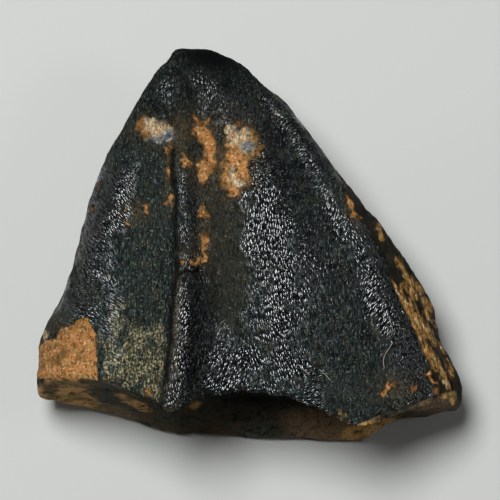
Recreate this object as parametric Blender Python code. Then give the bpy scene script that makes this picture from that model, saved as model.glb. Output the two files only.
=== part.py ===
"""A fossil tooth crown, lying on its broken back with the ribbed enamel face upwards.

The crown grew as one piece, so it is one solid. It is a wedge: a leaf shaped enamel face on top with one
tall ridge, a flat worn facet behind it that climbs to the tip, and a hollowed base where the root has gone.
A box is divided into a grid, and every point of the grid is carried to its place on the crown.
Units in the lists are millimetres. X is across the crown, +Y runs from the base to the tip, +Z is up.
"""
import math

import bmesh
import bpy
from mathutils import Vector, noise

MM = 0.001
NAME = "tooth_crown"

# Grid on the box: across, along and through the crown, and the share of its faces kept in the end
GRID_ACROSS = 72
GRID_ALONG = 54
GRID_DEEP = 16
FACE_SHARE_KEPT = 0.4

# Outline of the enamel face, seen from above, as (x, y)
FACE_LEFT = [(-11.4, -7.7), (-11.4, -6.1), (-10.9, -4.7), (-10.1, -3.1), (-9.2, 0.0), (-8.1, 3.4),
             (-6.5, 6.9), (-5.2, 9.2), (-4.35, 10.2)]
FACE_RIGHT = [(10.5, -8.8), (9.9, -5.9), (8.7, -3.4), (7.2, 0.0), (5.3, 2.9), (3.5, 5.7), (1.1, 8.4),
              (-0.7, 9.8)]
FACE_RIM_LEFT = [(-11.4, -7.7), (-8.6, -7.9), (-6.8, -8.7), (-5.1, -9.4)]
FACE_RIM_RIGHT = [(-5.1, -9.4), (-4.7, -9.8), (-3.8, -9.8), (-2.6, -9.1), (-0.8, -8.7), (1.4, -8.9),
                  (3.9, -9.7), (5.9, -10.6), (8.2, -9.8), (10.5, -8.8)]
FACE_TIP_LEFT = [(-4.35, 10.2), (-4.25, 10.4)]
FACE_TIP_RIGHT = [(-4.25, 10.4), (-3.5, 10.7), (-2.5, 10.6), (-1.6, 10.3), (-0.7, 9.8)]
RIDGE_WALL = [(-5.1, -9.4), (-4.7, -7.0), (-4.35, -3.6), (-4.2, 1.0), (-4.2, 5.6), (-4.25, 10.4)]

# Girdle: the widest line of the crown, part way down its sides, as (x, y, height)
GIRDLE_LEFT = [(-12.0, -8.4, 4.0), (-11.9, -5.9, 4.2), (-11.3, -4.2, 4.5), (-10.6, -3.0, 4.6),
               (-9.7, 0.0, 5.0), (-8.6, 3.6, 5.5), (-7.0, 6.8, 6.2), (-5.5, 9.3, 6.9), (-4.5, 10.4, 7.2)]
GIRDLE_RIGHT = [(11.9, -9.1, 3.6), (11.8, -7.5, 3.8), (11.0, -5.6, 4.0), (10.2, -2.9, 4.4), (8.1, 0.3, 5.0),
                (5.6, 3.4, 5.6), (3.8, 5.7, 6.0), (1.5, 8.3, 6.6), (-0.6, 10.0, 7.0)]
GIRDLE_TIP = [(-4.5, 10.4, 7.2), (-4.2, 10.9, 7.2), (-3.5, 11.0, 7.2), (-2.5, 10.9, 7.1),
              (-1.6, 10.6, 7.0), (-0.6, 10.0, 7.0)]
# Deepest line of the hollow in the base
HOLLOW_LINE = [(-12.0, -8.4, 4.0), (-9.6, -8.3, 4.4), (-6.8, -8.5, 4.8), (-4.2, -8.0, 5.2),
               (-1.2, -6.7, 5.4), (1.8, -6.6, 5.4), (4.8, -7.7, 5.0), (7.2, -8.9, 4.6), (9.4, -9.0, 4.2),
               (11.9, -9.1, 3.6)]

# Outline of the broken back that the crown lies on, as (x, y)
BACK_LEFT = [(-11.6, -8.3), (-11.1, -5.4), (-10.0, -2.6), (-8.6, 0.6), (-7.2, 4.0), (-5.6, 7.9),
             (-4.2, 10.1)]
BACK_RIGHT = [(11.6, -8.9), (11.0, -6.0), (9.2, -2.9), (7.2, 0.2), (4.8, 3.5), (2.2, 6.7), (-0.9, 9.7)]
BACK_RIM = [(-11.6, -8.3), (-10.1, -8.7), (-7.0, -9.5), (-4.8, -10.3), (-0.6, -10.7), (2.8, -10.8),
            (6.3, -10.8), (7.6, -10.1), (8.8, -9.5), (10.1, -9.4), (11.6, -8.9)]
BACK_TIP = [(-4.2, 10.1), (-3.4, 10.4), (-2.4, 10.4), (-1.5, 10.1), (-0.9, 9.7)]

# Height of the enamel face along the crown, as (share of the length from the base, height)
CREST_HEIGHT = [(0.0, 9.35), (0.25, 9.5), (0.5, 9.3), (0.75, 8.75), (0.92, 8.15), (1.0, 7.75)]
# How far the left and right margins fall below that height, and how late the fall starts
LEFT_DROOP = [(0.0, 2.5), (0.3, 2.0), (0.7, 1.2), (1.0, 0.2)]
RIGHT_DROOP = [(0.0, 2.6), (0.3, 1.9), (0.7, 1.0), (1.0, 0.2)]
DROOP_POWER_LEFT = 2.2
DROOP_POWER_RIGHT = 3.0

# Ribs across the face: (place on the grid, share of the half face, height).
# The share is -1 at the left margin, 0 at the foot of the ridge's steep wall and 1 at the right margin.
RIBS = [
    (0.000, -1.000, -0.10),  # left margin
    (0.050, -0.930, 0.22),
    (0.110, -0.820, 0.34),   # left marginal rib
    (0.190, -0.620, 0.10),
    (0.270, -0.400, -0.12),  # left panel
    (0.345, -0.150, -0.26),
    (0.390, -0.012, -0.36),  # foot of the ridge's wall
    (0.410, 0.012, 0.42),    # top of the wall
    (0.440, 0.045, 0.78),    # crest of the ridge
    (0.470, 0.085, 0.70),
    (0.510, 0.130, 0.22),
    (0.550, 0.180, -0.14),
    (0.590, 0.240, -0.26),   # trough
    (0.660, 0.350, 0.06),
    (0.730, 0.480, 0.42),    # swell
    (0.800, 0.620, 0.40),
    (0.865, 0.750, 0.14),
    (0.915, 0.850, -0.12),   # furrow beside the right margin
    (0.950, 0.920, 0.12),
    (0.975, 0.965, 0.10),    # right marginal rib
    (1.000, 1.000, -0.14),   # right margin
]
SHARE_ACROSS = [(place, share) for place, share, _ in RIBS]
RIB_HEIGHT = [(place, height) for place, _, height in RIBS]
# How strongly the tall ridge and the low ribs stand out along the crown
RIDGE_RELIEF = [(0.0, 1.15), (0.35, 1.0), (0.7, 0.62), (0.9, 0.3), (1.0, 0.1)]
RIB_RELIEF = [(0.0, 1.1), (0.35, 1.0), (0.6, 0.8), (0.8, 0.35), (0.92, 0.12), (1.0, 0.05)]
RIDGE_MIDDLE = 0.05       # share of the half face where the ridge is
RIDGE_REACH = 0.14

# The worn facet climbs from the resting face to the tip
WEAR_START_Y = 1.0
WEAR_END_Y = 10.4
WEAR_END_HEIGHT = 6.4

# The back bows away from its middle, sinks below the floor and is cut flat there
REST_SINK = 0.22
REST_MIDDLE = (0.5, 0.24)
REST_REACH = (0.5, 0.42)
REST_BOW = 0.34           # rise of the back at its reach
REST_BOW_LIMIT = 2.0      # the rise stops at this many times that
BACK_EDGE_LIFT = 0.6      # the back's edge is worn round by this much
BACK_EDGE_SHARE = 0.08
FLOOR_CUTTER_WIDTH = 40
FLOOR_CUTTER_DEPTH = 4

# Corner where a flake of enamel is missing: its outline, the depth of the step and the width of its edge
FLAKE_OUTLINE = [(-8.65, -8.6), (-8.6, -6.0), (-9.1, -4.75), (-9.9, -4.9), (-10.6, -5.35), (-11.3, -6.0),
                 (-12.6, -8.6)]
FLAKE_DEPTH = 0.34
FLAKE_EDGE = 0.55

# Nicks in the right margin: (x, y, radius, depth)
NICKS = [(5.75, 2.55, 1.1, 0.38), (6.5, 1.2, 0.9, 0.26), (9.4, -8.6, 1.1, 0.25)]

# Long grooves down the right side, where the layers of dentine show
RIGHT_SIDE = 0.999        # share of the width past which a point is on the right side
GROOVE_PLACES = [0.34, 0.52, 0.70, 0.86]
GROOVE_WIDTH = 0.045
GROOVE_DEPTH = 0.16
GROOVE_FADE = 1 / 3       # share of the length over which they run out towards the tip

# Uneven broken surfaces: broad lumps and small chips, which push out from the middle of the crown
CROWN_MIDDLE = Vector((0.5, 0.45, 0.0))
LUMP_SIZE = 3.2
LUMP_HEIGHT = 0.22
LUMP_FADE = 0.6           # the fractal's fade, step of scale and number of layers
LUMP_STEP = 2.0
LUMP_LAYERS = 3
CHIP_SIZE = 1.1
CHIP_HEIGHT = 0.08
NOISE_OFFSET = Vector((17.3, 4.9, 8.1))

ENAMEL_COLOUR = (0.018, 0.022, 0.024, 1.0)
ENAMEL_ROUGHNESS = 0.3


def clear_scene():
    for thing in list(bpy.data.objects):
        bpy.data.objects.remove(thing)


def smooth_step(t):
    t = min(1.0, max(0.0, t))
    return t * t * (3.0 - 2.0 * t)


def eased(start, start_slope, end, end_slope, span, s):
    """The smooth curve from start to end with the given slopes, at the share s of its span."""
    return (start * (1 + 2 * s) * (1 - s) ** 2 + start_slope * span * s * (1 - s) ** 2
            + end * s * s * (3 - 2 * s) + end_slope * span * s * s * (s - 1))


def slope_at(table, i):
    """The slope of a smooth line through (place, value) pairs at one of them, level at peaks and dips."""
    if not 0 < i < len(table) - 1:
        return 0.0
    before = (table[i][1] - table[i - 1][1]) / (table[i][0] - table[i - 1][0])
    after = (table[i + 1][1] - table[i][1]) / (table[i + 1][0] - table[i][0])
    return 2 * before * after / (before + after) if before * after > 0 else 0.0


def value_at(table, t):
    """A value read from a smooth line through (place, value) pairs, which never overshoots them."""
    t = min(table[-1][0], max(table[0][0], t))
    i = next(k for k in range(len(table) - 1) if t <= table[k + 1][0])
    span = table[i + 1][0] - table[i][0]
    return eased(table[i][1], slope_at(table, i), table[i + 1][1], slope_at(table, i + 1), span,
                 (t - table[i][0]) / span)


def curve_through(points):
    """A function that walks a smooth curve through the points, at even speed, for 0 to 1."""
    points = [Vector(p).to_3d() for p in points]
    lengths = [0.0]
    for p, q in zip(points, points[1:]):
        lengths.append(lengths[-1] + (q - p).length)
    slopes = []
    for i, _ in enumerate(points):
        before, after = max(i - 1, 0), min(i + 1, len(points) - 1)
        slopes.append((points[after] - points[before]) / (lengths[after] - lengths[before]))

    def at(t):
        walked = min(1.0, max(0.0, t)) * lengths[-1]
        i = next((k for k in range(len(points) - 1) if walked <= lengths[k + 1]), len(points) - 2)
        span = lengths[i + 1] - lengths[i]
        return eased(points[i], slopes[i], points[i + 1], slopes[i + 1], span, (walked - lengths[i]) / span)

    return at


def patch_between(left, right, rim, tip):
    """A function that fills the curves through four lists: s runs left to right, t from rim to tip."""
    left, right, rim, tip = (curve_through(points) for points in (left, right, rim, tip))
    corner_00, corner_10, corner_01, corner_11 = left(0), right(0), left(1), right(1)

    def at(s, t):
        along = rim(s) * (1 - t) + tip(s) * t
        across = left(t) * (1 - s) + right(t) * s
        corners = (corner_00 * (1 - s) * (1 - t) + corner_10 * s * (1 - t)
                   + corner_01 * (1 - s) * t + corner_11 * s * t)
        return along + across - corners

    return at


LEFT_FACE = patch_between(FACE_LEFT, RIDGE_WALL, FACE_RIM_LEFT, FACE_TIP_LEFT)
RIGHT_FACE = patch_between(RIDGE_WALL, FACE_RIGHT, FACE_RIM_RIGHT, FACE_TIP_RIGHT)
GIRDLE = patch_between(GIRDLE_LEFT, GIRDLE_RIGHT, HOLLOW_LINE, GIRDLE_TIP)
BACK = patch_between(BACK_LEFT, BACK_RIGHT, BACK_RIM, BACK_TIP)


def relief_at(share, b):
    """How strongly the face is ribbed there: the ridge stays tall for longer than the ribs."""
    ridge = math.exp(-((share - RIDGE_MIDDLE) / RIDGE_REACH) ** 2)
    return value_at(RIDGE_RELIEF, b) * ridge + value_at(RIB_RELIEF, b) * (1 - ridge)


def inside_distance(x, y, outline):
    """Distance from a point to a closed outline: positive inside it, negative outside."""
    inside = False
    nearest = math.inf
    for (x0, y0), (x1, y1) in zip(outline, outline[1:] + outline[:1]):
        if (y0 > y) != (y1 > y) and x < x0 + (y - y0) * (x1 - x0) / (y1 - y0):
            inside = not inside
        edge = Vector((x1 - x0, y1 - y0))
        share = min(1.0, max(0.0, Vector((x - x0, y - y0)).dot(edge) / edge.length_squared))
        nearest = min(nearest, math.hypot(x0 + edge.x * share - x, y0 + edge.y * share - y))
    return nearest if inside else -nearest


def face_point(a, b):
    """A point of the enamel face."""
    share = value_at(SHARE_ACROSS, a)
    if share < 0:
        place = LEFT_FACE(1 + share, b)
        droop = value_at(LEFT_DROOP, b) * abs(share) ** DROOP_POWER_LEFT
    else:
        place = RIGHT_FACE(share, b)
        droop = value_at(RIGHT_DROOP, b) * share ** DROOP_POWER_RIGHT
    height = value_at(CREST_HEIGHT, b) - droop + value_at(RIB_HEIGHT, a) * relief_at(share, b)
    flake = inside_distance(place.x, place.y, FLAKE_OUTLINE)
    height -= FLAKE_DEPTH * smooth_step(0.5 + flake / FLAKE_EDGE)
    for x, y, radius, depth in NICKS:
        height -= depth * smooth_step(1.0 - math.hypot(place.x - x, place.y - y) / radius)
    return Vector((place.x, place.y, height))


def back_point(a, b):
    """A point of the back: flat where the crown rests, then the worn facet."""
    place = BACK(a, b)
    climb = max(0.0, place.y - WEAR_START_Y) / (WEAR_END_Y - WEAR_START_Y)
    edge = min(a, 1 - a, b) / BACK_EDGE_SHARE
    bow = sum(((at - middle) / reach) ** 2 for at, middle, reach in zip((a, b), REST_MIDDLE, REST_REACH))
    lift = BACK_EDGE_LIFT * (1.0 - smooth_step(edge)) + REST_BOW * min(bow, REST_BOW_LIMIT)
    return Vector((place.x, place.y, WEAR_END_HEIGHT * climb + lift * (1.0 - climb) - REST_SINK))


def through(back, middle, front, c):
    """A point on the curve that starts at the back, passes the middle and ends at the front."""
    return back * ((1 - c) * (1 - 2 * c)) + middle * (4 * c * (1 - c)) + front * (c * (2 * c - 1))


def groove_at(a, b, c):
    """Depth of the grooves at a point of the box."""
    if a < RIGHT_SIDE:
        return 0.0
    grooves = sum(math.exp(-((c - place) / GROOVE_WIDTH) ** 2) for place in GROOVE_PLACES)
    return GROOVE_DEPTH * grooves * smooth_step((1 - b) / GROOVE_FADE)


def crown_point(a, b, c):
    """Where a point of the box, given as shares of its width, length and depth, lies on the crown."""
    point = through(back_point(a, b), GIRDLE(a, b), face_point(a, b), c)
    broken = 4 * c * (1 - c)
    lump = LUMP_HEIGHT * noise.fractal(point / LUMP_SIZE + NOISE_OFFSET, LUMP_FADE, LUMP_STEP, LUMP_LAYERS)
    chip = CHIP_HEIGHT * noise.noise(point / CHIP_SIZE + NOISE_OFFSET)
    outward = (Vector((a, b, 0.0)) - CROWN_MIDDLE).normalized()
    return point + outward * (broken * (lump + chip) - groove_at(a, b, c))


def divided_box():
    """A box from 0 to 1 whose six faces are grids."""
    bm = bmesh.new()
    bmesh.ops.create_cube(bm, size=1.0)
    for axis, cuts in enumerate((GRID_ACROSS, GRID_ALONG, GRID_DEEP)):
        parallel = [e for e in bm.edges if abs((e.verts[1].co - e.verts[0].co)[axis]) > 0.5]
        bmesh.ops.subdivide_edges(bm, edges=parallel, cuts=cuts - 1, use_grid_fill=True)
    bmesh.ops.translate(bm, verts=bm.verts, vec=(0.5, 0.5, 0.5))
    return bm


def make_enamel():
    material = bpy.data.materials.new("fossil enamel")
    material.use_nodes = True
    shader = material.node_tree.nodes["Principled BSDF"]
    shader.inputs["Base Color"].default_value = ENAMEL_COLOUR
    shader.inputs["Roughness"].default_value = ENAMEL_ROUGHNESS
    shader.inputs["Metallic"].default_value = 0.0
    return material


def floor_cutter(helpers):
    """A slab whose top is the floor, which cuts the resting face flat."""
    width, depth = FLOOR_CUTTER_WIDTH * MM, FLOOR_CUTTER_DEPTH * MM
    bm = bmesh.new()
    bmesh.ops.create_cube(bm, size=1.0)
    bmesh.ops.scale(bm, verts=bm.verts, vec=(width, width, depth))
    bmesh.ops.translate(bm, verts=bm.verts, vec=(0, 0, -depth / 2))
    mesh = bpy.data.meshes.new("floor_cutter")
    bm.to_mesh(mesh)
    bm.free()
    cutter = bpy.data.objects.new("floor_cutter", mesh)
    cutter.hide_render = True
    cutter.display_type = "WIRE"
    helpers.objects.link(cutter)
    return cutter


def build_crown(parts, helpers):
    bm = divided_box()
    for vert in bm.verts:
        vert.co = crown_point(*vert.co)
    lowest = Vector([min(v.co[k] for v in bm.verts) for k in range(3)])
    highest = Vector([max(v.co[k] for v in bm.verts) for k in range(3)])
    centre = (lowest + highest) / 2
    bmesh.ops.translate(bm, verts=bm.verts, vec=(-centre.x, -centre.y, 0))
    bmesh.ops.scale(bm, verts=bm.verts, vec=(MM, MM, MM))
    bmesh.ops.recalc_face_normals(bm, faces=bm.faces)
    mesh = bpy.data.meshes.new(NAME)
    bm.to_mesh(mesh)
    bm.free()
    mesh.shade_smooth()
    mesh.materials.append(make_enamel())
    crown = bpy.data.objects.new(NAME, mesh)
    parts.objects.link(crown)

    fewer = crown.modifiers.new("fewer faces", "DECIMATE")
    fewer.ratio = FACE_SHARE_KEPT
    rest = crown.modifiers.new("resting face", "BOOLEAN")
    rest.operation = "DIFFERENCE"
    rest.object = floor_cutter(helpers)
    print("crown centre moved by", round(centre.x, 3), round(centre.y, 3), "mm")
    print("crown size", [round(x, 2) for x in highest - lowest], "mm")


def main():
    clear_scene()
    parts = bpy.data.collections.new("fossil tooth crown")
    helpers = bpy.data.collections.new("cutters")
    for collection in (parts, helpers):
        bpy.context.scene.collection.children.link(collection)
    build_crown(parts, helpers)


main()
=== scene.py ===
# %% [markdown]
# # The looks of a fossil tooth crown
# The real thing is one shed tooth crown, about 24 mm wide, lying on its broken back with the enamel face up.
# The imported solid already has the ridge, the ribs and the hollow base. This script gives it a finely divided
# skin, carves the grain, the flaked places and the layered flank into that skin, and makes its materials.

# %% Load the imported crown
import math

import bpy
import numpy as np
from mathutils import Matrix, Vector, noise


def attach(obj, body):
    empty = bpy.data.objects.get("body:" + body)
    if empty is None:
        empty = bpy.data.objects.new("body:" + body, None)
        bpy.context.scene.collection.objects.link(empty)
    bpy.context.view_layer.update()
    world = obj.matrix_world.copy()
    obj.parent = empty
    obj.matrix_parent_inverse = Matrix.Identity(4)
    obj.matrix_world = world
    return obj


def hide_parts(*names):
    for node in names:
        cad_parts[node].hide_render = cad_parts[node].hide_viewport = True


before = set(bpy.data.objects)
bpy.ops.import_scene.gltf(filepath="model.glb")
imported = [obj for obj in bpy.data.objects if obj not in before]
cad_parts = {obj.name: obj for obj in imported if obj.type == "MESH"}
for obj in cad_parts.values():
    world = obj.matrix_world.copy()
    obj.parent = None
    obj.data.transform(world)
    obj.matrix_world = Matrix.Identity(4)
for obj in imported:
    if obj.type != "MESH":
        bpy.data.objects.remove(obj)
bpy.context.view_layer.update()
MM = 0.001
NODE = "tooth_crown"

# %% [markdown]
# ## The camera
# The photograph looks almost straight down on the enamel, a little from the base's side, so that the broken
# base just shows along the bottom. A long lens from a hand's span away keeps the perspective as flat as in a
# macro photograph. The camera comes first, because the spots and chips below are placed where it sees them.

# %% Camera over the enamel face
PHOTO_SIDE = 500                      # pixels
SENSOR = 36.0                         # mm
LENS = 300.0                          # mm
CAMERA_DISTANCE = 235 * MM
CAMERA_TILT = math.radians(6)         # away from straight down, towards the base
AIM = Vector((-0.016, -0.29, 5.17)) * MM

camera = bpy.data.objects.new("camera", bpy.data.cameras.new("camera"))
camera.data.lens = LENS
camera.data.sensor_width = SENSOR
camera.data.clip_start = 0.01
camera.rotation_euler = (CAMERA_TILT, 0, 0)
camera.location = AIM + Vector((0, -math.sin(CAMERA_TILT), math.cos(CAMERA_TILT))) * CAMERA_DISTANCE
bpy.context.scene.collection.objects.link(camera)
bpy.context.scene.camera = camera
bpy.context.view_layer.update()
PIXEL = CAMERA_DISTANCE * SENSOR / LENS / PHOTO_SIDE
print("one pixel of the photograph is", round(PIXEL / MM, 4), "mm wide")


def seen_at(places):
    """The photograph's pixel, across and down, at which each place in metres is seen."""
    turn = np.array(camera.matrix_world.to_3x3())
    local = (places - np.array(camera.location)) @ turn
    scale = LENS / SENSOR * PHOTO_SIDE / -local[:, 2]
    return PHOTO_SIDE / 2 + local[:, 0] * scale, PHOTO_SIDE / 2 - local[:, 1] * scale


# %% [markdown]
# ## A skin that is fine enough to carve
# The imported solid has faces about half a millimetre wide, and a grain of the enamel is less than half of
# that. A voxel remesh turns a merged copy into even squares, a Smooth modifier takes the flat facets out, and
# the faces that look up are then divided again. The back and the base stay coarser, which keeps the piece
# light.

# %% Copy, merge and remesh
VOXEL = 0.2 * MM
FACET_ROUNDS = 5                      # rounds of smoothing that melt the facets


def only(thing):
    """Selects one object alone and makes it active, so that the next operator acts on nothing else."""
    if bpy.context.object and bpy.context.object.mode != "OBJECT":
        bpy.ops.object.mode_set(mode="OBJECT")
    bpy.ops.object.select_all(action="DESELECT")
    thing.select_set(True)
    bpy.context.view_layer.objects.active = thing


def finish_with(thing, kind, **settings):
    """Adds a modifier with its settings and applies it."""
    only(thing)
    modifier = thing.modifiers.new(kind.lower(), kind)
    for name, value in settings.items():
        setattr(modifier, name, value)
    bpy.ops.object.modifier_apply(modifier=modifier.name)


def triangles(thing):
    """How many triangles a mesh comes to."""
    return sum(len(face.vertices) - 2 for face in thing.data.polygons)


crown = bpy.data.objects.new("crown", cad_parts[NODE].data.copy())
crown.data.materials.clear()
bpy.context.scene.collection.objects.link(crown)
only(crown)
bpy.ops.object.mode_set(mode="EDIT")
bpy.ops.mesh.select_all(action="SELECT")
bpy.ops.mesh.remove_doubles(threshold=0.001 * MM)
bpy.ops.object.mode_set(mode="OBJECT")
finish_with(crown, "REMESH", mode="VOXEL", voxel_size=VOXEL)
finish_with(crown, "SMOOTH", factor=0.5, iterations=FACET_ROUNDS)
print("even skin has", triangles(crown), "triangles")

# %% Divide the faces that look up
FINE_CUTS = 2                         # cuts across each face that looks up
FINE_NORMAL = 0.12                    # a face looks up if its normal rises more than this
FINE_ROUNDS = 3                       # rounds of smoothing after the cuts

only(crown)
bpy.ops.object.mode_set(mode="EDIT")
bpy.ops.mesh.select_mode(type="FACE")
bpy.ops.mesh.select_all(action="DESELECT")
bpy.ops.object.mode_set(mode="OBJECT")
for face in crown.data.polygons:
    face.select = face.normal.z > FINE_NORMAL
bpy.ops.object.mode_set(mode="EDIT")
bpy.ops.mesh.subdivide(number_cuts=FINE_CUTS, smoothness=0)
bpy.ops.object.mode_set(mode="OBJECT")
finish_with(crown, "SMOOTH", factor=0.5, iterations=FINE_ROUNDS)
print("fine skin has", triangles(crown), "triangles")

# %% [markdown]
# ## Reading the skin
# Carving and colouring both ask the same questions of every point: where is it seen, which way does it face,
# how deep inside an outline or how far from a line is it? Answering them for all points at once with arrays
# keeps the script quick. Noise breaks every outline up, because nothing on a fossil has a drawn edge.

# %% Questions to ask of the skin
SEED_APART = 7.31                     # lumps between the noises of two seeds


def soft(value, low, high):
    """0 below low, 1 above high and smooth between."""
    t = np.clip((value - low) / (high - low), 0, 1)
    return t * t * (3 - 2 * t)


def rough(places, size, seed=0):
    """Smooth noise from -1 to 1 at each place, with lumps of that size in mm: one number or three."""
    scaled = places / (np.array(size) * MM) + SEED_APART * seed
    return np.array([noise.noise(p) for p in scaled.tolist()])


def inside(across, down, outline):
    """How many pixels each point is inside a closed outline: negative outside it."""
    within = np.zeros(len(across), bool)
    nearest = np.full(len(across), np.inf)
    for (x0, y0), (x1, y1) in zip(outline, outline[1:] + outline[:1]):
        if y0 != y1:
            crossed = ((y0 > down) != (y1 > down)) & (across < x0 + (down - y0) * (x1 - x0) / (y1 - y0))
            within ^= crossed
        nearest = np.minimum(nearest, to_stretch(across, down, (x0, y0), (x1, y1)))
    return np.where(within, nearest, -nearest)


def to_stretch(across, down, start, end):
    """Distance in pixels from each point to a straight stretch."""
    dx, dy = end[0] - start[0], end[1] - start[1]
    share = np.clip(((across - start[0]) * dx + (down - start[1]) * dy) / (dx * dx + dy * dy), 0, 1)
    return np.hypot(start[0] + share * dx - across, start[1] + share * dy - down)


def to_line(across, down, line):
    """Distance in pixels from each point to the nearest stretch of a line."""
    return np.min([to_stretch(across, down, p, q) for p, q in zip(line, line[1:])], axis=0)


def in_spots(across, down, spots):
    """How much some oval spots cover each point: 1 in a spot's middle and 0.5 at its edge, added up where
    spots meet, so that close ones melt together. A spot is (across, down, half width, half height, turn),
    the turn in degrees clockwise."""
    cover = np.zeros(len(across))
    for x, y, wide, high, turn in spots:
        c, s = math.cos(math.radians(turn)), math.sin(math.radians(turn))
        u = ((across - x) * c + (down - y) * s) / wide
        v = ((down - y) * c - (across - x) * s) / high
        cover += np.exp2(-(u * u + v * v))
    return cover


# %% [markdown]
# ## What is where on the enamel face
# These outlines and spots are the map of the crown, in pixels of the photograph. The enamel is black and
# grainy. It has smoother places where it wore down, and it has flaked to the orange dentine at one corner and
# in spots along the ridge. The right flank beside it shows the dentine's long layers.

# %% Map of the enamel
# Outlines are closed and lines are open. Beyond the picture's edge the crown's own rim ends the enamel.
ENAMEL = [(-50, 379), (-50, -50), (550, -50), (550, 90), (346, 187), (343, 191), (349, 200), (361, 218),
          (371, 235), (383, 252), (389, 266), (391, 280), (398, 298), (409, 319), (419, 341), (428, 365),
          (435, 396), (416, 402), (395, 411), (376, 416), (355, 425), (337, 417), (320, 410), (298, 401),
          (275, 396), (255, 393), (235, 393), (218, 396), (203, 401), (190, 406), (166, 409), (158, 403),
          (145, 397), (130, 391), (113, 383), (97, 379)]
FLAKE = [(36, 378), (38, 346), (46, 340), (56, 338), (60, 328), (68, 328), (71, 325), (78, 320), (88, 318),
         (92, 326), (96, 335), (97, 352), (97, 379)]
WALL_FOOT = [(173, 150), (173, 175), (177, 200), (175, 225), (177, 262), (173, 300), (168, 360), (161, 405)]
RIDGE_CRACK = [(179, 275), (186, 271), (193, 273), (201, 270)]
FURROW = [(362, 215), (374, 245), (384, 272), (394, 300), (402, 330)]

# How strongly the enamel is grained, as (across, down, strength): glossy grains at 1 and worn matt at 0
GRAIN_STRENGTH = [
    (195, 50, 0.0), (230, 62, 0.0), (180, 72, 0.3), (200, 78, 0.33), (222, 84, 0.33), (245, 95, 0.35),
    (165, 95, 0.25), (190, 98, 0.36), (228, 104, 0.33), (210, 100, 0.33), (388, 262, 0.7), (392, 290, 0.8),
    (200, 105, 0.25), (150, 112, 0.1), (270, 110, 0.5), (285, 130, 0.85), (250, 125, 0.25), (262, 160, 0.7),
    (305, 150, 0.6), (320, 175, 0.55), (185, 140, 0.1), (220, 150, 0.1), (186, 185, 0.5), (188, 215, 0.55),
    (186, 245, 0.65), (186, 285, 0.6), (190, 320, 0.75), (186, 360, 0.75), (182, 395, 0.7), (205, 390, 0.6),
    (208, 320, 0.25), (212, 200, 0.05), (226, 230, 0.0), (230, 270, 0.0), (235, 310, 0.1), (228, 340, 0.3),
    (262, 190, 0.95), (270, 220, 1.0), (265, 250, 1.0), (272, 275, 0.95), (285, 300, 0.7), (255, 310, 0.45),
    (262, 345, 0.6), (240, 375, 0.75), (275, 372, 0.65), (300, 385, 0.6), (310, 340, 0.35), (300, 250, 0.55),
    (305, 205, 0.6), (330, 210, 0.45), (325, 250, 0.5), (345, 235, 0.8), (362, 260, 0.8), (375, 290, 0.7),
    (340, 290, 0.35), (350, 325, 0.3), (402, 315, 0.85), (412, 345, 0.8), (422, 375, 0.75), (385, 345, 0.35),
    (375, 385, 0.2), (340, 400, 0.25), (355, 365, 0.25), (395, 400, 0.6), (325, 400, 0.5), (145, 155, 0.1),
    (150, 200, 0.05), (145, 250, 0.05), (148, 300, 0.1), (125, 160, 0.35), (112, 190, 0.5), (98, 225, 0.55),
    (115, 250, 0.15), (85, 260, 0.6), (100, 290, 0.35), (75, 300, 0.55), (90, 315, 0.5), (60, 318, 0.0),
    (88, 240, 0.9), (80, 275, 0.9), (104, 208, 0.8), (66, 300, 0.8), (76, 252, 1.0), (68, 282, 1.0),
    (90, 215, 1.0), (99, 190, 0.9), (56, 306, 0.8), (110, 345, 0.2), (135, 335, 0.1), (155, 350, 0.05),
    (140, 380, 0.15), (112, 372, 0.2), (101, 350, 0.45),
    (167, 130, 0.0), (167, 165, 0.0), (167, 200, 0.0), (167, 230, 0.0), (167, 260, 0.0), (166, 290, 0.0),
    (163, 320, 0.05), (158, 345, 0.1), (155, 375, 0.15),
]
GRAIN_REACH = 12.0                    # pixels over which one strength turns into the next
GRAIN_CONTRAST = 1.6                  # above 1 the weak places fade more than the strong ones

# Which way the grains lean, as (across, down, degrees anticlockwise from the picture's right)
GRAIN_LEAN = [
    (92, 215, 126), (82, 262, 118), (80, 300, 148), (188, 190, 60), (193, 235, 112), (186, 262, 85),
    (186, 310, 66), (190, 370, 98), (262, 225, 88), (268, 285, 97), (285, 120, 50), (318, 165, 45),
    (320, 220, 75), (366, 232, 118), (392, 300, 62), (415, 360, 110), (275, 365, 104), (232, 385, 70),
    (205, 85, 88), (250, 100, 60), (340, 330, 95), (150, 70, 60), (330, 390, 20),
]
print(len(GRAIN_STRENGTH), "strengths and", len(GRAIN_LEAN), "directions of grain")

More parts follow.
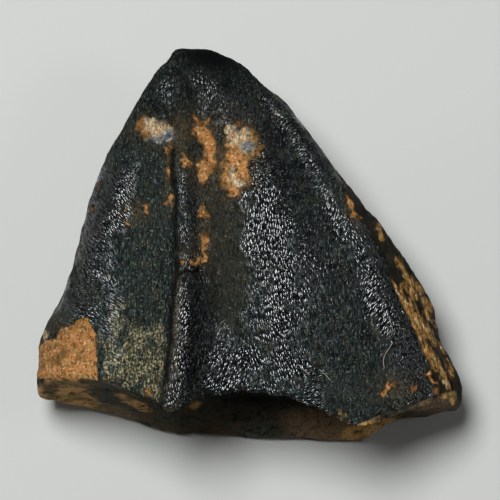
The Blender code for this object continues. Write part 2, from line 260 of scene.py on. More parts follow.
# %% Map of the flaked spots, the stains and the streaks
# Spots are (across, down, half width, half height, turn clockwise). Enamel flaked to orange dentine in the
# rust spots and to cream in the pale ones, and some of both have a blue grey film. The ground is worn enamel
# with greenish fibres, the mottled patch is stippled with cream, and the trough is a little browner.
RUST_SPOTS = [
    (195.5, 118, 3.2, 8.5, -15), (207, 121, 2.4, 5, 10), (202, 134, 9, 7, 0), (208, 146, 6.5, 8, 0),
    (210, 158, 6, 10, 0), (201, 170, 5, 8, 10), (203, 179, 3, 5, 0), (184, 156, 2.8, 4, 0),
    (186, 163, 4.4, 4, 0), (253, 150, 6, 6, 0), (240, 137, 13, 11, 0), (234, 156, 7.5, 11, 0),
    (243, 168, 5, 11, -15), (226, 173, 4.6, 7, 0), (235, 183, 10, 8, 0), (234, 193, 4.5, 4, 0),
    (143, 123, 6, 6, 0), (151, 130, 9, 7, 0), (169, 171, 1.7, 8, 0), (171, 197, 2.0, 3.4, 0),
    (168, 203, 2.6, 2.6, 0), (172, 207, 1.6, 2.8, 0), (169, 148, 1.8, 5, 0), (202, 210, 3, 3, 0),
    (205, 215, 3.2, 3, 0), (201, 216, 2, 2.4, 0), (201, 236, 2.6, 3.4, 0), (205, 240, 2.8, 4.4, 0),
    (204.5, 251, 2.6, 5, 0), (206, 257, 2.4, 2.6, 0), (199, 261, 4.6, 3, -10),
    (193, 263, 3.4, 2.4, 0), (182.6, 262.7, 2.0, 2.0, 0), (147, 207, 2.2, 2.8, 0), (146, 211, 1.4, 2, 0),
    (126, 209, 2, 1.6, 20), (128, 224.5, 1.4, 2.2, -20), (92.5, 209, 2.6, 2.4, 0), (99, 186, 1.3, 4, 15),
    (79, 251, 1.2, 3.4, 15), (390, 383, 4.8, 2.8, -10), (387, 389, 2, 4, 15), (383, 395, 3.4, 2.2, 0),
    (341, 412, 2.8, 3.0, 0), (345, 415, 2.0, 2.4, 0), (432, 380, 5, 1.6, 35), (415, 387, 2.2, 2.6, 20),
    (413, 391, 2.2, 2.2, 0), (434.5, 390.5, 3.2, 2.2, 20), (428, 375, 3, 1.4, -20), (145, 391, 3, 3, 0),
    (151, 396, 2.6, 2.2, 0), (350, 204, 1.9, 9, -25), (353, 215, 2.2, 3, 0), (357, 218, 3.2, 2, 10),
]
PALE_SPOTS = [
    (229, 129, 4.5, 5, 20), (238, 132, 6, 4, 10), (246, 134, 5, 5, 0), (231, 143, 5, 3.5, 0),
    (247, 147, 7, 5.5, 20), (241, 141, 4, 3, 0), (165, 131, 9, 6.5, 0), (155, 128, 6, 4, 0),
    (152, 120, 8, 2.5, 10), (233, 179, 4, 5, 0), (241, 184, 3.5, 4, 0), (232, 167, 3, 4, 0),
    (45.5, 335, 3.0, 6.5, 5), (158, 139, 13, 3, -4), (148, 126, 4, 3, 0),
]
BLUE_SPOTS = [(160, 140, 16, 4.5, -3), (248, 146, 8, 6, 0), (168, 134, 6, 6, 0)]
GROUND_SPOTS = [(145, 215, 26, 80, 0), (226, 255, 18, 72, 0), (365, 388, 45, 24, -10), (128, 355, 40, 45, 0),
                (190, 120, 12, 18, 0), (60, 322, 16, 12, 0)]
# Painted shade: black laid on both flanks of the ridge, over the apex and on the steep left margin
PAINTED_SHADE_SPOTS = [(208, 335, 9, 60, 3), (206, 52, 36, 14, 14), (188, 330, 8, 75, 2), (205, 84, 60, 30, 0),
              (95, 235, 18, 90, 22)]
# Painted shadow in the hollow base, under the enamel's overhanging edge
HOLLOW_SHADOW_SPOTS = [(258, 399, 50, 8, 0)]
BASE_SOOT_SPOTS = [(52, 389, 6, 7, 20)]
KEPT_SPOTS = [(195, 147.5, 8.5, 8.5, 0), (221, 140, 3, 9, 0)]   # enamel that stayed between the flaked spots
STAINS = [(182, 134, 9, 18, 0), (210, 152, 18, 30, 0), (236, 158, 18, 30, 0), (152, 130, 20, 10, 0),
          (198, 252, 12, 16, 0), (204, 225, 5, 20, 0), (169, 165, 4, 30, 0), (134, 213, 14, 9, 0),
          (356, 212, 8, 14, -30), (395, 388, 16, 12, 0), (48, 322, 12, 12, 0), (176, 330, 4, 50, 4)]
# Streaks are (line, half width)
FLANK_STREAKS = [
    ([(378, 226), (379, 229)], 2.6), ([(380, 233), (382, 239)], 2.2), ([(397, 260), (399, 265)], 2.8),
    ([(402, 268), (404, 271)], 2.4), ([(406, 275), (411, 280), (414, 285)], 3.0),
    ([(417, 285), (421, 291)], 3.4), ([(424, 301), (430, 308)], 4.0), ([(426, 312), (428, 317)], 3.0),
    ([(405, 286), (411, 291), (414, 297)], 3.8), ([(400, 293), (404, 302), (409, 308)], 2.8),
    ([(389, 279), (394, 288), (396, 292)], 2.2), ([(409, 309), (415, 318), (421, 327), (428, 334)], 5.6),
    ([(414, 322), (419, 334)], 3.2), ([(421, 338), (426, 348), (431, 357)], 4.0),
    ([(430, 334), (434, 343)], 3.2), ([(433, 359), (438, 369)], 4.2),
    ([(447, 361), (450, 367), (451, 375)], 2.6), ([(440, 343), (444, 353)], 2.0),
    ([(425, 374), (428, 377)], 2.0), ([(433, 322), (436, 326)], 1.8), ([(441, 372), (447, 386)], 3.0),
]
BASE_TAN = [(66, 390, 22, 13, 8), (72, 402, 28, 8, 12), (130, 401, 13, 4, 24), (143, 408, 8, 3, 20),
            (362, 431, 24, 8, -14), (386, 426, 10, 5, -20), (196, 405, 6, 4, -20), (447, 396, 7, 2.6, -12),
            (453, 400, 2.6, 6, 0)]
BASE_BROWN = [(350, 428, 44, 20, -8), (300, 418, 16, 10, 0), (320, 440, 24, 6, 0), (112, 412, 26, 7, 14),
              (436, 405, 20, 8, -10)]
MOTTLE_SPOTS = [(151, 378, 11, 24, 0), (119, 320, 9, 12, 0), (160, 338, 5, 26, 0), (126, 372, 14, 14, 20),
                (110, 350, 9, 20, 0), (136, 345, 8, 14, 0), (157, 395, 7, 10, 0)]
TROUGH = [(176, 112), (192, 112), (206, 180), (242, 192), (246, 300), (236, 335), (208, 300), (203, 200),
          (178, 172)]
print(len(RUST_SPOTS), "rust spots,", len(PALE_SPOTS), "pale spots and", len(FLANK_STREAKS), "streaks")

# %% Grain, mottling, streaks, tan, painted shade and a stain at each point
FLANK_LEAN = math.radians(24)         # the flank's layers lean this far from the length of the crown
FLANK_TURN = np.array([[math.cos(FLANK_LEAN), math.sin(FLANK_LEAN), 0],
                       [-math.sin(FLANK_LEAN), math.cos(FLANK_LEAN), 0], [0, 0, 1]]).T


def grained(places, across, down):
    """How strongly the enamel is grained: the strengths near each point, averaged and broken into clumps."""
    total, weight = 1e-9, 1e-9
    for x, y, strength in GRAIN_STRENGTH:
        near = np.exp(-((across - x) ** 2 + (down - y) ** 2) / (2 * GRAIN_REACH ** 2))
        total, weight = total + near * strength, weight + near
    clumps = rough(places, 1.1, 13) + 0.8 * rough(places, 0.4, 14)
    return np.clip((total / weight) ** GRAIN_CONTRAST * (1 + 1.3 * clumps), 0, 1)


def mottled(places, across, down):
    """The stippled patch left of the ridge, torn by noise but held to its spots."""
    spots = in_spots(across, down, MOTTLE_SPOTS)
    patchy = soft(spots + 1.2 * rough(places, 0.55, 19), 0.2, 1.1)
    return patchy * (0.2 + 0.8 * soft(spots, 0.05, 0.35))


def streaked(places, across, down, ragged):
    """The pale streaks of the flank, torn along its layers."""
    streak = np.zeros(len(across))
    for line, width in FLANK_STREAKS:
        streak = np.maximum(streak, np.exp2(-(to_line(across, down, line) / width) ** 2))
    layers = rough(places @ FLANK_TURN, (0.22, 0.6, 0.3), 3)
    return soft(streak + 0.5 * layers + 0.3 * ragged, 0.2, 0.95) * soft(streak, 0.05, 0.3)


def tanned(places, across, down, rise, ragged, enamel):
    """Tan dentine, in patches of the base and on the sides that the photograph doesn't show."""
    base = soft(in_spots(across, down, BASE_TAN) + 0.25 * ragged, 0.35, 0.8) * (1 - enamel)
    hidden = 1 - np.maximum(enamel, soft(rise, -0.2, 0.1))
    patches = rough(places, (2.2, 3.5, 1.4), 4) + 0.5 * rough(places, (0.8, 1.4, 0.5), 15) + 0.4 * ragged
    return np.maximum(base, 0.6 * soft(patches, -0.1, 0.8) * hidden)


def shade_and_stain(across, down, ragged, enamel):
    """Painted shade and shadow by the ridge, in its crack, furrow and hollow base, and one real dark stain."""
    # Painted shade at the foot of the ridge's left wall, in the crack, the furrow and the spots; painted
    # shadow in the hollow; the last is a real stain
    return np.maximum.reduce([
        0.85 * (1 - soft(to_line(across, down, WALL_FOOT) + 2.5 * ragged, 0.6, 4.6)),
        1 - soft(to_line(across, down, RIDGE_CRACK), 0.5, 1.8),
        0.5 * (1 - soft(to_line(across, down, FURROW) + 2 * ragged, 2.0, 9.0)),
        0.7 * in_spots(across, down, PAINTED_SHADE_SPOTS),
        in_spots(across, down, HOLLOW_SHADOW_SPOTS) * (1 - enamel),
        0.6 * soft(in_spots(across, down, BASE_SOOT_SPOTS) + 0.2 * ragged, 0.3, 0.7) * (1 - enamel),
    ])


# %% Survey of every point
SHAKE = 4.0                           # pixels by which noise shifts the flaked spots' outlines
FACE_FLOOR = 3.9                      # mm above the ground, below which there is no enamel


def survey(mesh):
    """Arrays with one value a point: the places, the normals and what is there on the real crown."""
    count = len(mesh.vertices)
    places, normals = np.empty(count * 3), np.empty(count * 3)
    mesh.vertices.foreach_get("co", places)
    mesh.vertices.foreach_get("normal", normals)
    places, normals = places.reshape(-1, 3), normals.reshape(-1, 3)
    across, down = seen_at(places)
    high, rise = places[:, 2] / MM, normals[:, 2]
    ragged = rough(places, 0.5, 1) + 0.6 * rough(places, 0.2, 2)

    # The enamel and the places where it has flaked off
    rim = high + 0.6 * rough(places, 1.4, 16) + 0.2 * ragged
    on_face = soft(rise, 0.02, 0.2) * soft(rim, FACE_FLOOR, FACE_FLOOR + 0.6)
    enamel = soft(inside(across, down, ENAMEL) + 1.6 * ragged, -1.6, 1.6) * on_face
    flake = soft(inside(across, down, FLAKE) + 1.6 * ragged, -2.5, 2.5)
    flake = flake * soft(rise + 0.12 * ragged, 0.0, 0.15)
    kept = in_spots(across, down, KEPT_SPOTS)
    shaken = across + SHAKE * rough(places, 0.3, 17), down + SHAKE * rough(places, 0.3, 18)
    rust = in_spots(*shaken, RUST_SPOTS) * on_face * (1 - 0.9 * kept) * (1 + 0.6 * ragged)
    pale = in_spots(*shaken, PALE_SPOTS) * on_face
    open_spots = np.maximum(np.maximum(rust, pale) * enamel, flake) + 0.12 * ragged
    spall = soft(open_spots, 0.3, 0.7)

    # Grained and worn enamel
    steep = 1 - soft(rise, 0.5, 0.88)
    grain = grained(places, across, down) * enamel * (1 - spall) * (1 - 0.4 * steep)
    ground = soft(in_spots(across, down, GROUND_SPOTS) + 0.15 * ragged, 0.2, 0.8)

    # Bare dentine on the flank and the base
    streak = streaked(places, across, down, ragged) * soft(rise, -0.15, 0.1) * (1 - enamel)
    umber = soft(in_spots(across, down, BASE_BROWN) + 0.25 * ragged, 0.35, 0.9) * (1 - enamel)

    return {
        "places": places, "normals": normals, "across": across, "down": down, "ragged": ragged,
        "enamel": enamel, "spall": spall, "flake": flake, "open": np.clip(open_spots, 0, 1.5),
        "grain": grain, "steep": steep, "ground": ground * enamel,
        "mottle": mottled(places, across, down) * enamel,
        "worn": enamel * (1 - soft(grain, 0.05, 0.55)) * (1 - 0.35 * ground),
        "stain": np.clip(in_spots(across, down, STAINS) - kept, 0, 1) * enamel,
        "brown": soft(inside(across, down, TROUGH) + 2 * ragged, -5, 5) * enamel,
        "rust": soft(np.maximum(rust, flake), 0.15, 0.55),
        "core": soft(np.maximum(rust, 1.1 * flake), 0.35, 0.9), "pale": soft(pale, 0.2, 0.8),
        "blue": soft(in_spots(across, down, BLUE_SPOTS), 0.3, 0.8) * on_face, "streak": streak,
        "base": soft(normals[:, 1], -0.2, -0.6) * (1 - enamel), "umber": umber,
        "tan": tanned(places, across, down, rise, ragged, enamel),
        "painted_shade_and_stain": shade_and_stain(across, down, ragged, enamel),
    }


found = survey(crown.data)
for name in ("enamel", "spall", "grain", "tan"):
    print(name, "covers", round(100 * float(found[name].mean()), 1), "% of the points")

# %% [markdown]
# ## Carving
# The grains are pebbles, a fifth of a millimetre across and a third of one long. Each lies in the direction
# of its part of the face: towards the edges near the margins, upright in the middle. A Voronoi pattern in
# turned and stretched coordinates gives such pebbles. Every point takes the direction of the nearest place on
# the map. Smooth noise makes the pits, the ripples and the layers, and the outlines say where each belongs.

# %% Grains, chips, pits and layers
GRAIN_WIDTH = 0.19 * MM
GRAIN_LENGTH = 0.32 * MM
GRAIN_HEIGHT = 0.026 * MM
STEEP_GAIN = 3.5                      # share by which the grains of the steep margins are taller
SPALL_DEPTH = 0.06 * MM               # a flaked place below the enamel
PIT_DEPTH = 0.075 * MM                # pits in the flaked dentine
RIPPLE_HEIGHT = 0.03 * MM             # low swells of the enamel
FIBRE_HEIGHT = 0.01 * MM              # fine lines along the worn enamel
LAYER_HEIGHT = 0.07 * MM              # edges of the flank's layers
CRACK_DEPTH = 0.13 * MM               # the crack across the ridge
NICK_DEPTH = 0.09 * MM                # nicks along the enamel's edge
LEAN_BLUR = 9.0                       # pixels by which noise shifts the borders between directions


def nearest_lean(across, down, ragged):
    """The number of the nearest direction of grain for each point."""
    far = [np.hypot(across - x, down - y) + LEAN_BLUR * np.sin(ragged * 3 + k)
           for k, (x, y, _) in enumerate(GRAIN_LEAN)]
    return np.argmin(far, axis=0)


def along_the_grain(places, lean):
    """Places turned so that the second coordinate runs along the grains."""
    angle = np.radians([degrees for _, _, degrees in GRAIN_LEAN])[lean] - math.pi / 2
    c, s = np.cos(angle), np.sin(angle)
    return places[:, 0] * c + places[:, 1] * s, places[:, 1] * c - places[:, 0] * s


def pebbles(places, lean):
    """Height from 0 in the gaps to 1 on the top of each grain."""
    u, v = along_the_grain(places, lean)
    spots = np.stack([u / GRAIN_WIDTH, v / GRAIN_LENGTH, 3.7 * lean], axis=1)
    nearest = np.array([noise.voronoi(p)[0][0] for p in spots.tolist()])
    return np.clip(1 - (nearest / 0.7) ** 2, 0, 1)


def carved(found):
    """How far every point moves out along its normal, in metres."""
    places = found["places"]
    lean = nearest_lean(found["across"], found["down"], found["ragged"])
    dentine = 1 - found["enamel"] * (1 - found["spall"])
    tall = GRAIN_HEIGHT * (1 + STEEP_GAIN * found["steep"])
    height = tall * found["grain"] * (pebbles(places, lean) - 0.5)
    height += RIPPLE_HEIGHT * found["enamel"] * rough(places, 1.3, 5)
    height += FIBRE_HEIGHT * (found["enamel"] - found["grain"]) * rough(places, (0.22, 1.8, 0.6), 6)
    height -= SPALL_DEPTH * (found["spall"] - 0.4 * found["flake"])
    pitted = rough(places, 0.32, 7) + 0.5 * rough(places, 0.17, 8)
    height += PIT_DEPTH * found["spall"] * pitted
    broken = dentine * (1 - found["spall"])
    height += broken * MM * (0.09 * rough(places, 1.1, 9) + 0.05 * rough(places, 0.45, 10))
    layers = rough(places @ FLANK_TURN, (0.35, 3.2, 0.35), 11)
    height += LAYER_HEIGHT * broken * layers * soft(found["normals"][:, 0], 0.2, 0.6)
    height -= CRACK_DEPTH * (1 - soft(to_line(found["across"], found["down"], RIDGE_CRACK), 0.6, 2.2))
    edge = 1 - soft(np.abs(inside(found["across"], found["down"], ENAMEL)), 1.0, 5.0)
    height -= NICK_DEPTH * edge * found["enamel"] * soft(rough(places, 0.4, 12), 0.0, 0.5)
    return height * soft(places[:, 2] / MM, 0.1, 0.6)


shift = carved(found)
moved = found["places"] + found["normals"] * shift[:, None]
moved[:, 2] = np.maximum(moved[:, 2], 0)
crown.data.vertices.foreach_set("co", moved.ravel())
crown.data.update()
print("carving moved the skin by up to", round(float(np.abs(shift).max()) / MM, 3), "mm")

# %% [markdown]
# ## Fewer faces where they are not needed
# The carved skin has more triangles than a reusable model should carry. The Decimate modifier folds edges
# where the surface is nearly flat and leaves the grains, so the detail stays and the count falls.

# %% Decimate and shade
MOST_TRIANGLES = 195_000
finish_with(crown, "DECIMATE", ratio=min(1.0, MOST_TRIANGLES / triangles(crown)))
finish_with(crown, "TRIANGULATE")
only(crown)
bpy.ops.object.shade_smooth()
print("finished crown has", triangles(crown), "triangles")

# %% Leave the map on the skin for the materials
MAPS = ("enamel", "open", "grain", "steep", "worn", "ground", "mottle", "brown", "stain", "base", "umber",
        "tan", "streak", "rust", "core", "pale", "blue", "painted_shade_and_stain")
LEAN_APART = 40                       # mm between two directions on the grain map, wider than the crown
found = survey(crown.data)
for name in MAPS:
    attribute = crown.data.attributes.new(name, "FLOAT", "POINT")
    attribute.data.foreach_set("value", found[name].astype(np.float32))

corners = np.empty(len(crown.data.loops), np.int32)
crown.data.loops.foreach_get("vertex_index", corners)
lean = nearest_lean(found["across"], found["down"], found["ragged"])
face_lean = np.repeat(lean[corners[::3]], 3)      # all three corners take the direction of the first
u, v = along_the_grain(found["places"][corners], face_lean)
turned = np.stack([u / MM + LEAN_APART * face_lean, v / MM], axis=1)
grain_map = crown.data.uv_layers.new(name="grain_map")
grain_map.data.foreach_set("uv", turned.astype(np.float32).ravel())
print("wrote", len(MAPS), "maps and the direction of the grain")

# %% [markdown]
# ## Materials
# Fossil enamel is apatite blackened by iron and manganese. It is hard and stays glossy, so its look is black
# with sharp small highlights on every grain. Dentine is softer: where the enamel is gone it is matt, pitted
# and stained orange and tan. One shader carries both, and the maps on the skin say which of them shows.

# %% Small helpers for materials


def linear(hex_colour):
    """An sRGB hex colour as the linear colour that a shader takes."""
    channels = [int(hex_colour[i:i + 2], 16) / 255 for i in (1, 3, 5)]
    return [c / 12.92 if c <= 0.04045 else ((c + 0.055) / 1.055) ** 2.4 for c in channels] + [1.0]


def add(tree, kind, inputs, out=0, **settings):
    """Adds a node with its settings, gives its sockets their values or links, and returns one output.
    A socket goes by its name, or by its number where two have the same name."""
    node = tree.nodes.new("ShaderNode" + kind)
    for name, value in settings.items():
        setattr(node, name, value)
    sockets = [socket for socket in node.inputs if socket.enabled]
    for key, value in inputs.items():
        socket = sockets[key] if isinstance(key, int) else next(s for s in sockets if s.name == key)
        if isinstance(value, bpy.types.NodeSocket):
            tree.links.new(value, socket)
        else:
            socket.default_value = linear(value) if isinstance(value, str) else value
    return [socket for socket in node.outputs if socket.enabled][out]


# %% Lumps and tints
# Kinds of lumps that break the colours up, by their size each way in mm. Layers lean with the right flank.
LUMPS = {
    "clouds": (1.2, 1.2, 1.2), "broad": (0.5, 0.9, 0.5), "medium": (0.3, 0.3, 0.3),
    "fine": (0.13, 0.13, 0.13), "fibres": (0.075, 0.4, 0.3), "strokes": (0.1, 0.32, 0.2),
    "layers": (0.14, 0.9, 0.3), "dabs": (0.22, 0.4, 0.3), "blots": (0.25, 0.36, 0.3),
    "patches": (0.36, 0.5, 0.4), "slivers": (0.09, 0.26, 0.2),
}
LUMPS_APART = 0.7                     # mm between the noises of two kinds
# Tints from the bottom up: the map that says where, the lumps, the range of them that it fills, the colour. A
# range that is given backwards fills the hollows between the lumps.
ENAMEL_TINTS = [
    (None, "clouds", 0.35, 0.65, "#070b0b"), ("ground", "fibres", 0.30, 0.64, "#1e2420"),
    ("worn", "dabs", 0.50, 0.64, "#1f2725"), ("worn", "blots", 0.56, 0.68, "#1d272b"),
    ("worn", "patches", 0.55, 0.68, "#2d291e"), ("worn", "fibres", 0.54, 0.68, "#3a413d"),
    ("worn", "slivers", 0.60, 0.70, "#5f6763"), ("worn", "fine", 0.63, 0.72, "#7a7f77"),
    # The grey strokes on the grains are a painted highlight: glints laid into the colour
    ("grain", "strokes", 0.58, 0.70, "#3d4447"), ("brown", "fibres", 0.38, 0.62, "#2c2a21"),
    ("stain", "fine", 0.40, 0.62, "#463a28"), ("mottle", "dabs", 0.40, 0.62, "#2b2d23"),
    ("mottle", "fibres", 0.48, 0.64, "#4c4c38"), ("mottle", "slivers", 0.55, 0.66, "#81775a"),
    ("mottle", "fine", 0.56, 0.66, "#9b9277"), ("mottle", "strokes", 0.62, 0.70, "#a9825c"),
    # painted shade, laid in near black where the map above says
    ("painted_shade_and_stain", None, 0, 0.9, "#030404"),
]
DENTINE_TINTS = [
    (None, "broad", 0.36, 0.64, "#2b261a"), ("base", "medium", 0.36, 0.62, "#494c42"),
    ("base", "clouds", 0.44, 0.60, "#4b4030"), ("umber", "dabs", 0.28, 0.62, "#725b43"),
    ("umber", "fine", 0.50, 0.68, "#8c7153"), ("tan", "medium", 0.22, 0.60, "#8b6c3e"),
    ("tan", "clouds", 0.40, 0.60, "#c79b5e"), ("tan", "patches", 0.46, 0.36, "#54422a"),
    ("streak", None, 0, 1, "#4d3619"), ("streak", "medium", 0.40, 0.56, "#966a33"),
    ("streak", "dabs", 0.46, 0.60, "#bb8d50"), ("streak", "patches", 0.56, 0.66, "#d0b78f"),
    ("streak", "layers", 0.46, 0.36, "#171109"), ("rust", None, 0, 1, "#6a4a26"),
    ("rust", "fine", 0.40, 0.60, "#976631"), ("core", "medium", 0.40, 0.58, "#a9713e"),
    ("core", "dabs", 0.52, 0.66, "#9c7c49"), ("core", "blots", 0.56, 0.68, "#b47b56"),
    ("core", "fine", 0.55, 0.70, "#d6aa82"), ("rust", "clouds", 0.44, 0.34, "#72502a"),
    ("rust", "patches", 0.42, 0.34, "#5c5031"), ("rust", "strokes", 0.40, 0.30, "#3c2a18"),
    ("pale", "medium", 0.36, 0.58, "#a08a66"), ("pale", "strokes", 0.45, 0.62, "#c6b9a0"),
    ("pale", "patches", 0.44, 0.36, "#6b655a"), ("pale", "dabs", 0.56, 0.66, "#ad8148"),
    ("blue", "medium", 0.34, 0.58, "#4b5763"), (None, "fine", 0.38, 0.28, "#140e08"),
    # painted shadow of the hollow base, and one real dark stain, laid in near black
    ("painted_shade_and_stain", None, 0, 1, "#050504"),
]
print(len(LUMPS), "kinds of lumps,", len(ENAMEL_TINTS), "tints on enamel,", len(DENTINE_TINTS), "on dentine")


def lumps_in(tree, place):
    """One noise for each kind of lumps, and 1 for a tint that lies all over its map."""
    lumps = {None: 1.0}
    for number, (name, size) in enumerate(LUMPS.items()):
        lean = FLANK_LEAN if name == "layers" else 0
        space = add(tree, "Mapping", {"Vector": place, "Location": [LUMPS_APART * MM * number] * 3,
                                      "Rotation": (0, 0, lean), "Scale": [x * MM for x in size]},
                    vector_type="TEXTURE")
        lumps[name] = add(tree, "TexNoise", {"Vector": space, "Scale": 1.0, "Detail": 3.0, "Roughness": 0.55})
    return lumps


def tinted(tree, lumps, colour, tints):
    """Lays tints over a colour, each where its map and its lumps allow."""
    for where, kind, low, high, tint in tints:
        most = 1.0 if where is None else add(tree, "Attribute", {}, out=2, attribute_name=where)
        share = add(tree, "MapRange", {"Value": lumps[kind], "From Min": low, "From Max": high,
                                       "To Max": most})
        colour = add(tree, "Mix", {"Factor": share, "A": colour, "B": tint}, data_type="RGBA")
    return colour


# %% Fossil enamel
PEBBLE_WIDTH = 0.115                  # mm, finer than the carved grains, which it sharpens
PEBBLE_LENGTH = 0.30                  # mm
PEBBLE_HEIGHT = 0.070                 # mm, for a squared distance of one cell
FIBRE_RELIEF = 0.03                   # mm, of the fine lines where the enamel is worn
FINE_RELIEF = 0.005                   # mm, all over the enamel
WORN_ROUGHNESS, GRAIN_ROUGHNESS = 1.0, 0.24
GAP_POLISH = 0.08                     # weight of the coat in the gaps between grains, whose tops have 1
STEEP_POLISH = 0.4                    # weight of the coat on the tops where the face is steep


def enamel_layer(tree, lumps):
    """Colour, roughness, height in mm and polish of the black enamel, which is glossy on its grains and matt
    where it is worn and in the gaps between them."""
    grain = add(tree, "Attribute", {}, out=2, attribute_name="grain")
    along = add(tree, "UVMap", {}, uv_map="grain_map")
    crowd = add(tree, "Mapping", {"Vector": along, "Scale": (PEBBLE_WIDTH, PEBBLE_LENGTH, 1)},
                vector_type="TEXTURE")
    wobble = add(tree, "TexNoise", {"Vector": crowd, "Scale": 0.9, "Detail": 1.0}, out=1)
    crowd = add(tree, "Mix", {"Factor": 0.2, "A": crowd, "B": wobble}, data_type="VECTOR")
    pebble = add(tree, "TexVoronoi", {"Vector": crowd, "Scale": 1.25}, voronoi_dimensions="2D")
    dip = add(tree, "Math", {0: pebble, 1: pebble}, operation="MULTIPLY")
    depth = add(tree, "MapRange", {"Value": grain, "From Max": 0.35, "To Max": -PEBBLE_HEIGHT})
    worn = add(tree, "MapRange", {"Value": grain, "From Max": 0.3, "To Min": FIBRE_RELIEF, "To Max": 0.0})
    height = add(tree, "Math", {0: dip, 1: depth}, operation="MULTIPLY")
    height = add(tree, "Math", {0: worn, 1: lumps["fibres"], 2: height}, operation="MULTIPLY_ADD")
    height = add(tree, "Math", {0: lumps["fine"], 1: FINE_RELIEF, 2: height}, operation="MULTIPLY_ADD")
    gloss = add(tree, "MapRange", {"Value": grain, "From Min": 0.02, "From Max": 0.55,
                                   "To Min": WORN_ROUGHNESS, "To Max": GRAIN_ROUGHNESS})
    steep = add(tree, "Attribute", {}, out=2, attribute_name="steep")
    rubbed = add(tree, "MapRange", {"Value": steep, "To Min": 1.0, "To Max": STEEP_POLISH})
    tops = add(tree, "MapRange", {"Value": pebble, "From Min": 0.70, "From Max": 0.38, "To Min": GAP_POLISH,
                                  "To Max": rubbed})
    polish = add(tree, "MapRange", {"Value": gloss, "From Min": 0.9, "From Max": 0.3, "To Max": tops})
    return tinted(tree, lumps, "#070a0a", ENAMEL_TINTS), gloss, height, polish


# %% Bare dentine
DENTINE_ROUGHNESS = 0.75              # chalky, with no shine left
PIT_FINE, PIT_MEDIUM = 0.10, 0.12     # mm of relief on the fine and the medium lumps


def dentine_layer(tree, lumps):
    """Colour, roughness and height in mm of the dentine, where the enamel has flaked or never was."""
    height = add(tree, "Math", {0: lumps["fine"], 1: PIT_FINE}, operation="MULTIPLY")
    height = add(tree, "Math", {0: lumps["medium"], 1: PIT_MEDIUM, 2: height}, operation="MULTIPLY_ADD")
    return tinted(tree, lumps, "#0f0d09", DENTINE_TINTS), DENTINE_ROUGHNESS, height


# %% Put the two together on the crown
TEAR = 1.5                            # how far the lumps tear the edges between enamel and dentine
WORN_IOR = 1.18                       # matched to how little the worn enamel and the dentine mirror
POLISHED_IOR = 1.6                    # whole apatite, on the grains
POLISHED_ROUGHNESS = 0.18


def crown_material():
    """Fossil enamel over dentine: the maps and the lumps say which of them shows, and the coat is the polish
    that makes each grain glint."""
    material = bpy.data.materials.new("fossil enamel over dentine")
    material.use_nodes = True
    tree = material.node_tree
    shader = tree.nodes["Principled BSDF"]
    lumps = lumps_in(tree, add(tree, "TexCoord", {}, out=3))
    whole, opened = [add(tree, "Attribute", {}, out=2, attribute_name=name) for name in ("enamel", "open")]
    kept = add(tree, "Math", {0: whole, 1: opened}, operation="SUBTRACT")
    torn = add(tree, "Math", {0: lumps["medium"], 1: TEAR, 2: kept}, operation="MULTIPLY_ADD")
    torn = add(tree, "Math", {0: lumps["fine"], 1: TEAR, 2: torn}, operation="MULTIPLY_ADD")
    share = add(tree, "MapRange", {"Value": torn, "From Min": 0.2 + TEAR, "From Max": 0.8 + TEAR})
    black, gloss, grains, polish = enamel_layer(tree, lumps)
    brown, matt, pits = dentine_layer(tree, lumps)
    colour = add(tree, "Mix", {"Factor": share, "A": brown, "B": black}, data_type="RGBA")
    roughness = add(tree, "Mix", {"Factor": share, "A": matt, "B": gloss}, data_type="FLOAT")
    height = add(tree, "Mix", {"Factor": share, "A": pits, "B": grains}, data_type="FLOAT")
    normal = add(tree, "Bump", {"Height": height, "Distance": MM, "Strength": 1.0})
    polish = add(tree, "Math", {0: polish, 1: share}, operation="MULTIPLY")
    for name, output in (("Base Color", colour), ("Roughness", roughness), ("Normal", normal),
                         ("Coat Weight", polish), ("Coat Normal", normal)):
        tree.links.new(output, shader.inputs[name])
    shader.inputs["IOR"].default_value = WORN_IOR
    shader.inputs["Coat Roughness"].default_value = POLISHED_ROUGHNESS
    shader.inputs["Coat IOR"].default_value = POLISHED_IOR
    return material


crown.data.materials.append(crown_material())
print("material has", len(crown.data.materials[0].node_tree.nodes), "nodes")

# %% [markdown]
# ## Lint
# Four short textile fibres cling to the enamel. Each is a thin curve laid on the skin where the camera sees
# it, and then made a mesh. Cotton is matt and whitish, and dust leaves it patchy and grey.

# %% Fibres on the enamel
FIBRES = [
    [(392.7, 342.1), (389.7, 348.2), (384.2, 354.2), (382.4, 361.5), (384.2, 367.6)],
    [(389, 317.9), (391, 325), (393.3, 331.2)],
    [(318.8, 369.4), (323.6, 372.4), (330.3, 380.3)],
    [(298.2, 364.5), (303, 368.8), (309, 374.8)],
]
FIBRE_RADIUS = 0.022 * MM
DUST_PATCH = 0.17 * MM


def seen_through(x, y):
    """The place on the crown that is seen at a pixel of the photograph."""
    ray = Vector(((x - PHOTO_SIDE / 2) * PIXEL, (PHOTO_SIDE / 2 - y) * PIXEL, -CAMERA_DISTANCE))
    _, place, normal, _ = crown.ray_cast(camera.location, (camera.matrix_world.to_3x3() @ ray).normalized())
    return place + normal * FIBRE_RADIUS


def laid_fibre(pixels):
    """One fibre as a mesh, from a curve through its places."""
    curve = bpy.data.curves.new("lint fibre", "CURVE")
    curve.dimensions = "3D"
    curve.bevel_depth = FIBRE_RADIUS
    curve.bevel_resolution = 1
    curve.resolution_u = 6
    curve.use_fill_caps = True
    line = curve.splines.new("NURBS")
    line.points.add(len(pixels) - 1)
    line.use_endpoint_u = True
    for point, pixel in zip(line.points, pixels):
        point.co = (*seen_through(*pixel), 1)
    fibre = bpy.data.objects.new("lint fibre", curve)
    bpy.context.scene.collection.objects.link(fibre)
    only(fibre)
    bpy.ops.object.convert(target="MESH")
    bpy.ops.object.shade_smooth()
    return bpy.context.object


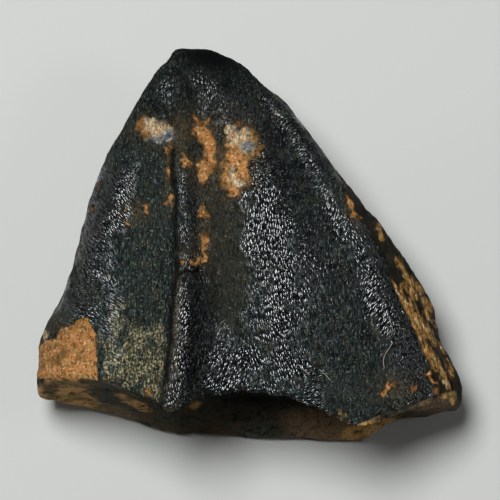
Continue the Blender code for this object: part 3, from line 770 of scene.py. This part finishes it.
def lint_material():
    """Cotton lint, greyed in patches by dust."""
    material = bpy.data.materials.new("cotton lint")
    material.use_nodes = True
    tree = material.node_tree
    shader = tree.nodes["Principled BSDF"]
    place = add(tree, "Mapping", {"Vector": add(tree, "TexCoord", {}, out=3), "Scale": [DUST_PATCH] * 3},
                vector_type="TEXTURE")
    dust = add(tree, "TexNoise", {"Vector": place, "Scale": 1.0})
    colour = add(tree, "Mix", {"Factor": dust, "A": "#5e594e", "B": "#a39c8c"}, data_type="RGBA")
    tree.links.new(colour, shader.inputs["Base Color"])
    shader.inputs["Roughness"].default_value = 0.8
    return material


bpy.context.view_layer.update()
fibres = [laid_fibre(pixels) for pixels in FIBRES]
lint = lint_material()
for fibre in fibres:
    fibre.data.materials.append(lint)
print("laid", len(fibres), "fibres with", sum(triangles(fibre) for fibre in fibres), "triangles")

# %% Join the lint to the crown and tell the frame
only(crown)
for fibre in fibres:
    fibre.select_set(True)
bpy.ops.object.join()
print("crown with its lint has", triangles(crown), "triangles and", len(crown.data.materials), "materials")
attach(crown, "root")
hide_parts(NODE)

# %% [markdown]
# ## Floor and light
# The floor is pale matt paper, which lifts the shadows and mirrors nothing. The main lamp stands high and a
# little to the left, so that each grain of the swell beside the ridge answers with a highlight while the right
# side of the ridge stays dark. A low lamp on the left makes the grains of the steep margin glint, and a weak
# one on the right opens the flank's shadow.

# %% Floor, lamps and the dim room
LAMP_DISTANCE = 0.30                  # metres
LAMP_COLOUR = (0.94, 0.98, 1.0)       # a little cool, as daylight

bpy.ops.mesh.primitive_plane_add(size=2, location=(0, 0, 0))
floor = bpy.context.object
floor.name = "floor"
paper = bpy.data.materials.new("pale matt paper")
paper.use_nodes = True
paper.node_tree.nodes["Principled BSDF"].inputs["Base Color"].default_value = linear("#b7b6b2")
paper.node_tree.nodes["Principled BSDF"].inputs["Roughness"].default_value = 0.9
floor.data.materials.append(paper)


def lamp(name, direction, size, power):
    """A round lamp that shines at the crown's middle from a direction, with its size in metres and its power
    in watts."""
    light = bpy.data.objects.new(name, bpy.data.lights.new(name, "AREA"))
    light.data.shape = "DISK"
    light.data.size = size
    light.data.energy = power
    light.location = Vector(direction).normalized() * LAMP_DISTANCE
    light.rotation_euler = Vector(direction).to_track_quat("Z", "Y").to_euler()
    light.data.color = LAMP_COLOUR
    bpy.context.scene.collection.objects.link(light)


lamp("main lamp", (-0.22, 0.25, 0.94), 0.12, 1.18)
lamp("left lamp", (-0.97, 0.05, 0.24), 0.05, 0.13)
lamp("right lamp", (0.68, 0.0, 0.73), 0.065, 0.08)
world = bpy.data.worlds.new("dim room")
world.use_nodes = True
world.node_tree.nodes["Background"].inputs["Color"].default_value = (1, 1, 1, 1)
world.node_tree.nodes["Background"].inputs["Strength"].default_value = 0.05
bpy.context.scene.world = world
bpy.context.scene.view_settings.view_transform = "Standard"
